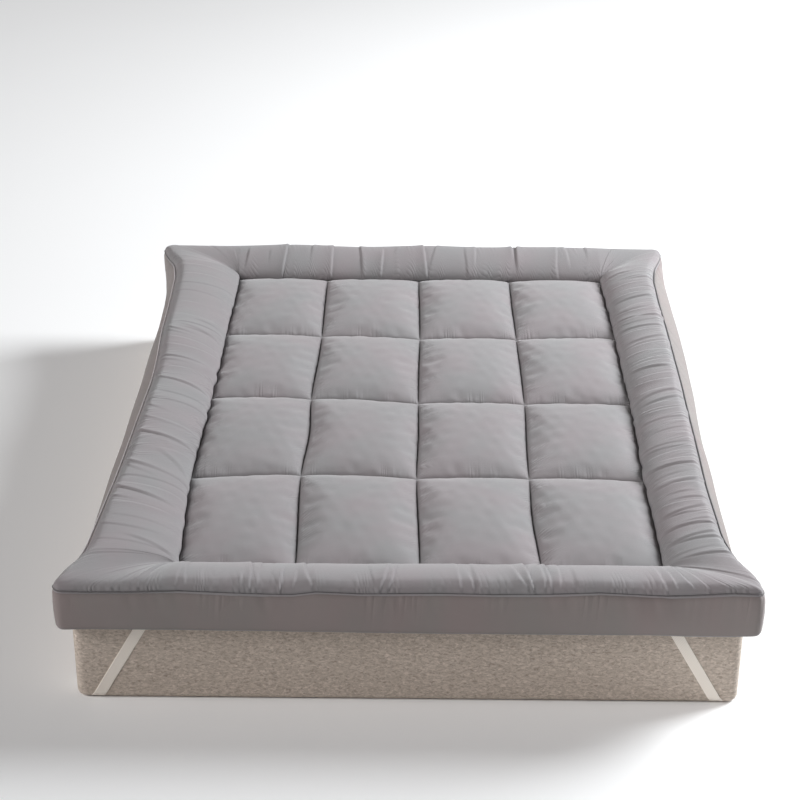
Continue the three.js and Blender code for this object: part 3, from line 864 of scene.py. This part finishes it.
def makeQuilt():
    # a grid over all the cells: each point's height is the product of the two profiles; the cloth is then blown up
    # between the sewn lines, which stray a little sideways; upright walls and a flat base close it
    nx, ny = quilt["cellSteps"]
    wide, long = len(quilt["columns"]) - 1, len(quilt["rows"]) - 1
    u, v = np.arange(wide * nx + 1) / nx, np.arange(long * ny + 1) / ny
    col, row = np.minimum(u.astype(int), wide - 1), np.minimum(v.astype(int), long - 1)
    cu, cv = crowded(u - col), crowded(v - row)
    x, y = sewnPlan(*np.meshgrid(col + cu, row + cv))
    cellX, cellY = np.meshgrid(cu, cv)
    size = quilt["cellSpread"]
    size = 1 + np.random.default_rng(8).uniform(-size, size, (long, wide))[np.ix_(row, col)]
    rise = cellProfile(cellX, 0) * cellProfile(cellY, 1)
    sewn = (v % 1 == 0)[:, None] | (u % 1 == 0)
    height = np.where(sewn, 0, quilt["crown"] * size * rise + quilt["uneven"] * cloudy(x, y, 0.05, 6) * rise)
    top = stacked(x, y, quilt["seamHeight"] + height)
    top = settle("quiltCloth", top, gridFaces(*x.shape)[:, ::-1], sewn.ravel(), quilt["cloth"])
    top = calmed(top, sewn, quilt["cloth"]["calm"])
    top = finer(finer(top, 0, ny), 1, nx)
    rows, cols = top.shape[:2]
    upright, farUpright = besideLines(top.transpose(1, 0, 2), 2 * nx, 0, ("left", "right"))
    level, farLevel = besideLines(top, 2 * ny, 1, ("before", "beyond"))
    index = np.arange(rows * cols).reshape(rows, cols)
    rim = np.concatenate([index[0, :-1], index[:-1, -1], index[-1, :0:-1], index[:0:-1, 0]])
    low = index.size + np.arange(len(rim))
    walls = stacked(rim, low, np.roll(low, -1), np.roll(rim, -1))
    points = top.reshape(-1, 3)
    points = np.concatenate([points, withHeight(points[rim, :2], topperBase)])
    faces = np.concatenate([gridFaces(rows, cols)[:, ::-1], walls]).tolist() + [low[::-1].tolist()]
    piece = makePiece("quiltCentre", points, faces, points[:, :2] - fieldLow[:2])

    def keptFlat(values):
        return np.concatenate([values.ravel(), np.zeros(len(rim))])

    # painted shade in the grooves beside the sewn lines
    keepValue(piece, "crease", keptFlat(groove(np.minimum(farUpright.T, farLevel), quilt["groove"])))
    for letter, tucks in (("A", upright.transpose(0, 2, 1)), ("B", level)):
        keepPuckers(piece, letter, *(keptFlat(values) for values in tucks))
    return piece


# The upright band and the welt

band = {
    "gap": 0.0004,
    "thickness": 0.0018,
    "flatWidth": 0.105,
    "steps": 18,
    "tuck": 0.004,
    "hem": 0.003,
    "crease": {"depth": 0.0014, "pitch": 0.05, "group": 0.3},
    "swell": {"depth": 0.0022, "pitch": 0.33},
    "groove": {"top": (0.005, 0.03), "hem": (0.006, 0.022)},  # painted shade under the welt and along the hem; here the reach is a share of the height
    "puckers": (0.021, 0.1, 0.040, 0.30, -0.2, 0.0015),
}
welt = {
    "steps": 10,
    "radius": (0.0017, 0.0022, 0.0020, 0.0025, 0.0018),
    "outwards": (-0.0012, 0.0014, 0.0, 0.0034, 0.0),
    "lift": (0.001, 0.0036, 0.001, 0.0042, 0.001),
    # painted shade on the welt for each side, and painted light on the left, where it catches the light
    "shade": (0.006, 0.006, 0.003, 0.0, 0.004),
    "paintedLight": (0, 0, 0, 1, 0),
}


def makeBand():
    # a closed strip: the outer face with faint upright creases, tucked in under the welt and at its hem, the inner
    # face smooth, joined over both edges
    share = (1 - np.cos(np.linspace(0, math.pi, band["steps"]))) / 2
    outer = sidePoints(share, band["gap"] + band["thickness"])
    inner = sidePoints(share, band["gap"])[:, ::-1]
    length, around = edges["length"][:, None], edges["around"]
    calm, top = 4 * share * (1 - share), smoothStep(share, 0.35, 1.0)
    fine, broad = band["crease"], band["swell"]
    crease = fine["depth"] * wavy(length + 0.02 * share, fine["pitch"], 81, around=around) * top
    crease = crease * smoothStep(wavy(length, fine["group"], 82, around=around), -0.4, 0.7)
    swell = broad["depth"] * wavy(length + 0 * share, broad["pitch"], 83, around=around)
    tuck = band["tuck"] * smoothStep(share, 0.90, 1.0) + band["hem"] * (1 - smoothStep(share, 0.0, 0.05))
    push = (crease + swell) * calm ** 0.6 - tuck
    outer[..., :2] += edges["out"][:, None, :] * push[..., None]
    inner[..., :2] -= edges["out"][:, None, :] * tuck[::-1, None]
    piece = ringPiece("sideBand", np.concatenate([outer, inner], 1), 0.1 * np.concatenate([share, share[::-1]]))
    below = ((0, 0), (0, len(share)))
    # painted shade: darker in the creases' hollows, under the welt as the side's seam shade says, and along the hem
    paintedShade = groove(1 - share, band["groove"]["top"]) * bySide(edges, roll["seamShade"])
    paintedShade = paintedShade + groove(share, band["groove"]["hem"])
    keepValue(piece, "crease", np.pad(np.maximum(-crease, 0) + paintedShade, below))
    phase, strength = puckers(length + 0 * share, 0.1 * (1 - share) + 0 * length, band["puckers"], 84, around)
    keepPuckers(piece, "A", np.pad(phase, below), np.pad(strength, below))
    return piece


def makeWelt():
    # a round piping along the outer seam, its radius a little uneven: it stands out on the left and is sunk elsewhere
    angle = np.linspace(0, 2 * math.pi, welt["steps"], endpoint=False)
    length = edges["length"][:, None]
    radius, away, lift, shade = (bySide(edges, welt[k]) for k in ("radius", "outwards", "lift", "shade"))
    radius = radius * (0.94 + 0.05 * wavy(length + 0 * angle, 0.02, 91, around=edges["around"]))
    reach = away + radius * np.cos(angle)
    plan = edges["seam"][:, None, :] + edges["out"][:, None, :] * reach[..., None]
    height = roll["outerHeight"] + edges["seamLift"][:, None] + lift + radius * np.sin(angle)
    piece = ringPiece("seamWelt", withHeight(plan, height), angle * 0.002)
    # painted shade on the sunk sides and painted light on the left
    keepValue(piece, "crease", shade + 0 * angle)
    keepValue(piece, "paintedLight", bySide(edges, welt["paintedLight"]) + 0 * angle)
    return piece


# The elastic straps

strap = {
    "width": 0.025,
    "thickness": 0.0012,
    "cornerTop": 0.160,
    "cornerBase": 0.047,
    "grooveRoof": 0.0021,
    "bendShift": 0.004,
    "edgeRadius": 0.015,
    "gap": 0.0003,
    "ribs": 8,
    "ribHeight": 0.00016,
    "nap": 0.00018,  # by how much the ribs' middle lies under the full thickness
    "selvedge": 0.0003,  # how much thinner the strap is along its two edges
    "widening": 0.6,  # how far it has widened towards the diagonal where it leaves the face
    "across": 33,
}


def mattressCorner(side, end):
    # the corner of the mattress's box at its base
    x, y = mattressHigh[0] if side > 0 else mattressLow[0], mattressHigh[1] if end > 0 else mattressLow[1]
    return np.array([x, y, mattressLow[2]])


def strapRows(along, offset):
    # one half of the strip's route: straight down the face, round the lower edge, to the diagonal under the corner.
    # For each row: the place along the face, how wide it is either way, the distance in, and the height
    height, edge, gap = mattressHigh[2] - mattressLow[2], strap["edgeRadius"], strap["gap"]
    slant = math.atan2(strap["cornerTop"] - strap["cornerBase"], height)
    bendFrom, radius = strap["grooveRoof"] + edge, edge + gap + offset
    angle = np.clip((along - 1) * math.pi / 2, 0, math.pi / 2)
    turned = angle / (math.pi / 2)
    up = np.where(along < 1, height - along * (height - bendFrom), bendFrom - radius * np.sin(angle))
    inwards = np.where(along < 1, -gap - offset, edge - radius * np.cos(angle))
    plainUp = np.where(along < 1, up, bendFrom - (edge + gap) * np.sin(angle))
    centre = strap["cornerBase"] + (strap["cornerTop"] - strap["cornerBase"]) * plainUp / height
    centre = centre - strap["bendShift"] * turned
    upright, diagonal = (strap["width"] / 2 / math.cos(tilt) for tilt in (slant, math.pi / 4))
    return centre, upright + (diagonal - upright) * strap["widening"] * turned, inwards, up


def strapLayer(side, end, offset):
    # one layer of the strip as rows of points across it: half, diagonal, mirrored half
    along = np.concatenate([np.linspace(0, 1, 24), 1 + np.linspace(0, 1, 14)[1:]])
    t = np.linspace(-1, 1, strap["across"])
    centre, reach, inwards, up = strapRows(along[:, None], offset)
    first = stacked(centre + reach * t, inwards, up)
    place = (centre[-1, 0] + strap["edgeRadius"]) / 2 + strap["width"] / 2 * math.sqrt(0.5) * t
    rows = np.concatenate([first, stacked(place, place, up[-1])[None], first[::-1][..., [1, 0, 2]]])
    return mattressCorner(side, end) + rows * np.array([-side, -end, 1])


def makeStrap(name, side, end):
    # a ribbed webbing: its outer layer rises and falls in lengthwise ribs, thinner at the two selvedges; each section
    # runs along one layer and back along the other
    t = np.linspace(-1, 1, strap["across"])
    ribs = strap["ribHeight"] * np.cos(math.pi * strap["ribs"] * t)
    ribs = ribs - strap["selvedge"] * smoothStep(np.abs(t), 0.9, 1.0)
    inner = strapLayer(side, end, 0 * t)
    outer = strapLayer(side, end, strap["thickness"] - strap["nap"] + ribs)
    length = np.linalg.norm(np.diff(inner[:, strap["across"] // 2], axis=0), axis=1).sum()
    section = np.concatenate([inner, outer[:, ::-1]], 1)
    rows, cols = section.shape[:2]
    share = np.linspace(0, 1, strap["across"])
    flat = stacked(np.linspace(0, length, rows)[:, None], np.concatenate([share, share[::-1]]) * strap["width"])
    return makePiece(name, section, stackFaces(rows, cols), flat), length


# The mattress

block = {
    "cornerRadius": 0.025,
    "cornerSteps": 9,
    "edgeRadius": 0.015,
    "edgeSteps": 7,
    "sideSteps": 16,
    "faceSteps": (96, 74),
}


def mattressRing(inset):
    # a rounded rectangle, anticlockwise: an arc at each corner and an evenly spaced straight to the next
    r = block["cornerRadius"] - inset
    arcs, ring = [], []
    for k, (side, end) in enumerate(((1, -1), (1, 1), (-1, 1), (-1, -1))):
        centre = mattressCorner(side, end)[:2] - np.array([side, end]) * block["cornerRadius"]
        angle = math.pi / 2 * (k - 1 + np.linspace(0, 1, block["cornerSteps"]))
        arcs.append(centre + r * stacked(np.cos(angle), np.sin(angle)))
    for k in range(4):
        start, stop = arcs[k][-1], arcs[(k + 1) % 4][0]
        share = np.linspace(0, 1, block["faceSteps"][k % 2] + 1)[1:-1, None]
        ring += [arcs[k], start + (stop - start) * share]
    return np.concatenate(ring)


def makeMattress():
    # rings stacked from the base to the top, inset along the rounded edges by the radius less its sine; the flat
    # top, which the topper hides, faces inwards
    r, steps = block["edgeRadius"], block["sideSteps"]
    turn = np.linspace(0, math.pi / 2, block["edgeSteps"])
    inwards, up = r * (1 - np.sin(turn)), r * (1 - np.cos(turn))
    inset = np.concatenate([inwards, np.zeros(steps), inwards[::-1]])
    height = mattressHigh[2] - mattressLow[2]
    level = np.concatenate([up, np.linspace(r, height - r, steps + 2)[1:-1], height - up[::-1]])
    rings = [mattressRing(i) for i in inset]
    section = np.stack([withHeight(ring, z) for ring, z in zip(rings, level)])
    faces = stackFaces(*section.shape[:2])
    faces[-1].reverse()
    return makePiece("mattressBlock", section, faces)


# Finishes

def topperFinish(name, tone):
    # brushed cloth: patches of tone and hue, fuzz, painted shade in grooves and creases, painted light on the piping, a
    # weave, slubs and the puckers
    finish = Finish(name, {"Roughness": 0.82, "Specular IOR Level": 0.25, "Sheen Weight": 0.35,
                           "Sheen Roughness": 0.45})
    where = finish.place()
    cloth = finish.place(uv=True)
    patches = finish.noise(where, 5.0, 3.0, 0.55)
    hues = finish.noise(finish.place((1.0, 1.0, 0.4)), 7.0, 2.0, 0.5)
    fuzz = finish.noise(where, 260.0, 3.0, 0.7)
    shade = finish.ramp(patches, [(0.3, scaled(tone, 0.94)), (0.7, scaled(tone, 1.05))])
    cool, warm = scaled(tone, 0.95, 1.02, 1.02), scaled(tone, 1.08, 0.97, 1.01)
    shade = finish.blend(0.5, shade, finish.ramp(hues, [(0.35, cool), (0.65, warm)]))
    mixed = finish.blend(fuzz * 0.35, shade, scaled(tone, 1.10))
    # painted shade: the crease attribute darkens the cloth towards a third of its tone
    creaseShade = finish.node("ShaderNodeMapRange", {}, {"Value": finish.attribute("crease"), "From Min": 0.0,
                                                  "From Max": 0.0055, "To Min": 0.0, "To Max": 1.0})
    mixed = finish.blend(creaseShade, mixed, scaled(tone, 0.34))
    # painted light: the piping on the left made lighter
    mixed = finish.blend(finish.attribute("paintedLight"), mixed, scaled(tone, 2.6))
    warp, weft = (finish.stripes(cloth, direction, 420.0, 1.5, 1.0) for direction in "XY")
    slubs = finish.noise(finish.place((14, 160, 60)), 1.0, 2.0, 0.6)
    weave = finish.bump(warp * weft, 0.25, 0.0003)
    soft = finish.bump(fuzz, 0.35, 0.0006, Normal=weave)
    thread = finish.bump(slubs, 0.12, 0.0012, Normal=soft)
    tucks = [finish.arch(finish.attribute("phase" + k)) * finish.attribute("strength" + k) for k in "AB"]
    finish.feed(BaseColor=mixed, Normal=finish.bump(tucks[0] + tucks[1], 1.0, 0.001, Normal=thread))
    return finish.material


def elasticFinish():
    # webbing with ribs along it and fine picks across, a little worn
    finish = Finish("elasticWebbing", {"Roughness": 0.7, "Specular IOR Level": 0.3, "Sheen Weight": 0.2})
    flat = finish.place(uv=True)
    ribs = finish.stripes(flat, "Y", 100.0, 0.4)
    picks = finish.stripes(flat, "X", 240.0, 0.8)
    worn = finish.noise(finish.place(), 40.0, 3.0)
    tone = finish.ramp(ribs, [(0.0, (0.85, 0.77, 0.68)), (0.6, (0.95, 0.875, 0.79)), (1.0, (0.97, 0.92, 0.85))])
    tone = finish.blend(worn * 0.3, tone, (0.89, 0.81, 0.72))
    finish.feed(BaseColor=tone, Normal=finish.bump(ribs + 0.4 * picks, 0.5, 0.0004))
    return finish.material


def heatherFinish():
    # heathered knit: fibres from dark to pale, flecks and soft clouds, over its rows of stitches
    finish = Finish("heatherKnit", {"Roughness": 0.9, "Specular IOR Level": 0.2, "Sheen Weight": 0.15})
    fibres = finish.noise(finish.place((1.0, 1.0, 2.0)), 95.0, 4.0, 0.72, 0.8)
    flecks = finish.noise(finish.place((1.0, 1.0, 1.8)), 210.0, 3.0, 0.8)
    clouds = finish.noise(finish.place(), 9.0, 3.0)
    tone = finish.ramp(fibres, [(0.30, (0.30, 0.240, 0.198)), (0.46, (0.50, 0.422, 0.357)),
                                (0.56, (0.62, 0.529, 0.456)), (0.70, (0.80, 0.696, 0.615))])
    tone = finish.blend(finish.ramp(flecks, [(0.60, 0.0), (0.72, 0.55)]), tone, (0.85, 0.78, 0.70))
    tone = finish.blend(clouds * 0.20, tone, (0.44, 0.38, 0.32))
    rows = finish.stripes(finish.place(), "Z", 160.0, 2.0)
    finish.feed(BaseColor=tone, Normal=finish.bump(fibres + 0.5 * rows, 0.5, 0.0012))
    return finish.material


topperCloth = topperFinish("topperCloth", (0.260, 0.245, 0.249))
# the band is the topper's own cloth; its darker, warmer tone is painted shade
shadedBandCloth = topperFinish("shadedBandCloth", (0.237, 0.206, 0.197))
elastic = elasticFinish()
heather = heatherFinish()
print("finishes made")


def dress(piece, material, slotName, *nodes):
    piece.data.materials.append(material)
    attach(piece, "root")
    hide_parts(*nodes)


quiltCentre = makeQuilt()
dress(quiltCentre, topperCloth, "topper_cloth", "quilt_field")
print("quilted centre made")

borderRoll = makeRoll()
dress(borderRoll, topperCloth, "topper_cloth", "border_roll")
print("border roll made")

sideBand = makeBand()
dress(sideBand, shadedBandCloth, "band_cloth", "side_band")
seamWelt = makeWelt()
dress(seamWelt, topperCloth, "topper_cloth", "seam_welt")
print("band and welt made")

mattressBlock = makeMattress()
dress(mattressBlock, heather, "mattress_knit", "mattress")
print("mattress made")

for end, endName in ((-1, "foot"), (1, "head")):
    for side, sideName in ((-1, "left"), (1, "right")):
        webbing, length = makeStrap(f"strap.{endName}.{sideName}", side, end)
        dress(webbing, elastic, "elastic", f"strap_{endName}_{sideName}")
print("straps made")
